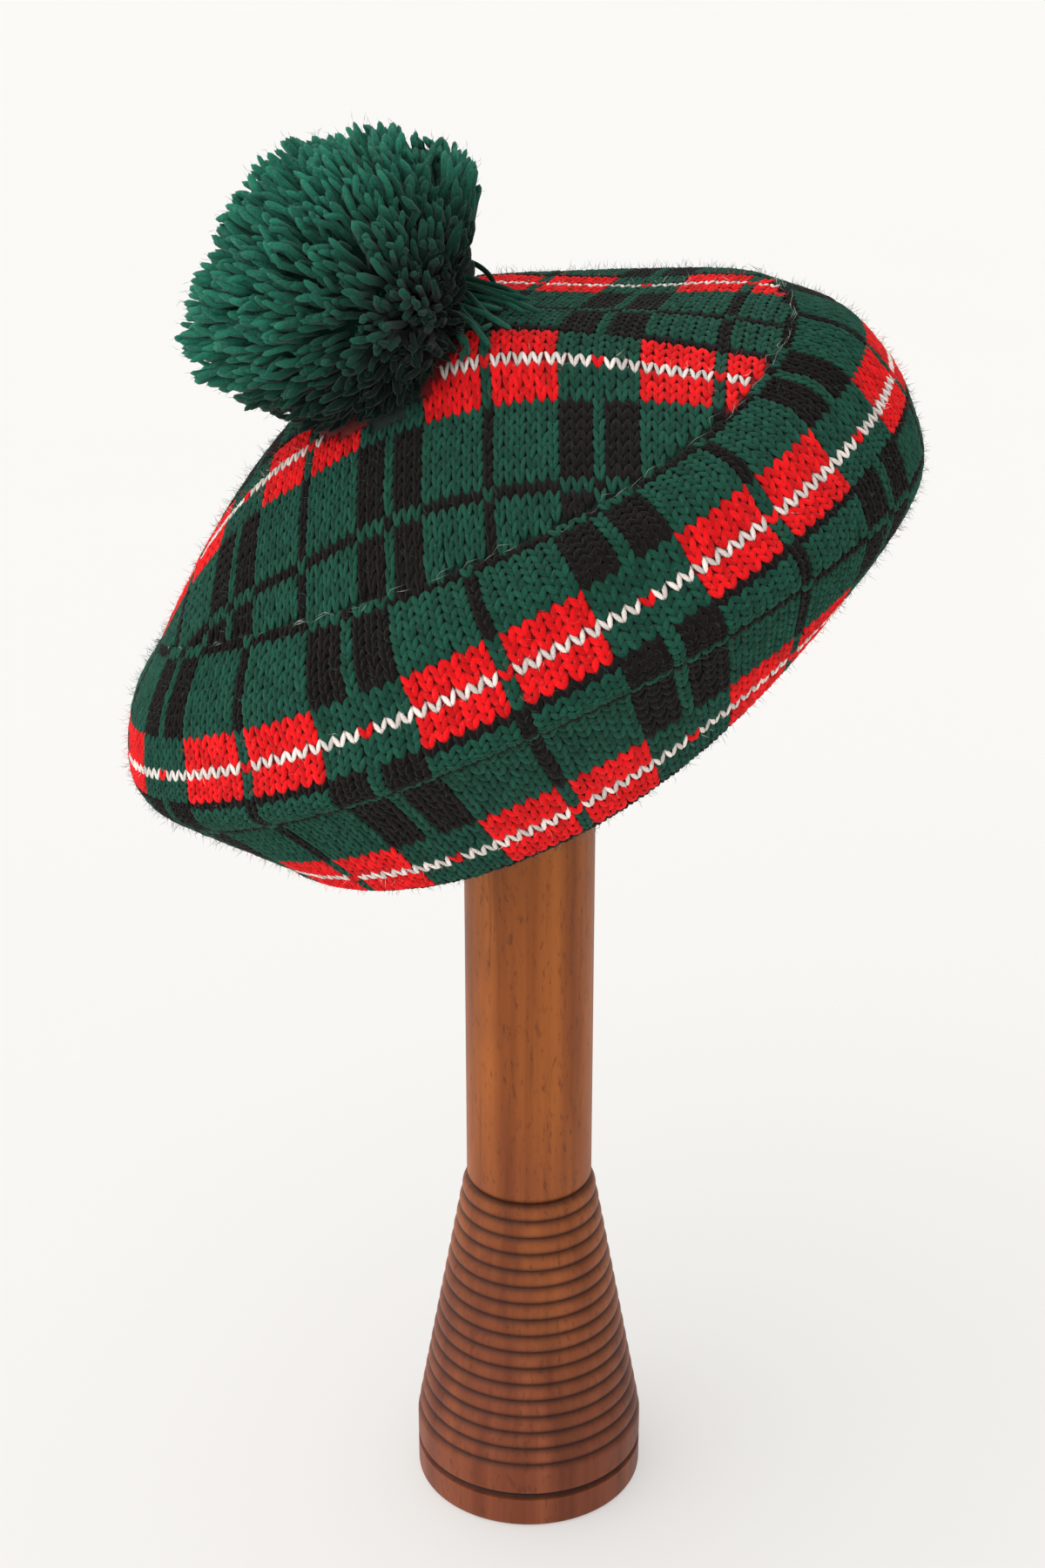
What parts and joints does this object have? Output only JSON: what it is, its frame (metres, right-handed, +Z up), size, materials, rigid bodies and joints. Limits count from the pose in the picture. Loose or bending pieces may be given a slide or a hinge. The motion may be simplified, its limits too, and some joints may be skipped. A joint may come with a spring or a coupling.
{
  "type": "tam o shanter on a turned wooden stand",
  "caption": "Slouchy knitted tartan tam o shanter with a large yarn pompom, hanging tilted on a turned wooden stand with a ringed foot.",
  "frame": {"origin": "middle of the stand's flat foot, on the surface it stands on", "axes": "+Z up along the stand; -Y towards the viewer of the picture; +X to the picture's right, so the hat leans down to -X"},
  "size_m": [0.2665, 0.2831, 0.518],
  "materials": {
    "stand_wood": "satin, waxed, darker towards the foot",
    "tartan_knit": "brushed knitted yarn in green, black, red and white checks",
    "band_knit": "ribbed dark green yarn",
    "pompom_yarn": "thick soft green yarn, cut ends"
  },
  "bodies": {
    "root": {"turned_stand": "stand_wood", "crown": "tartan_knit", "side_piece": "tartan_knit", "head_band": "band_knit", "pompom": "pompom_yarn"}
  },
  "joints": []
}
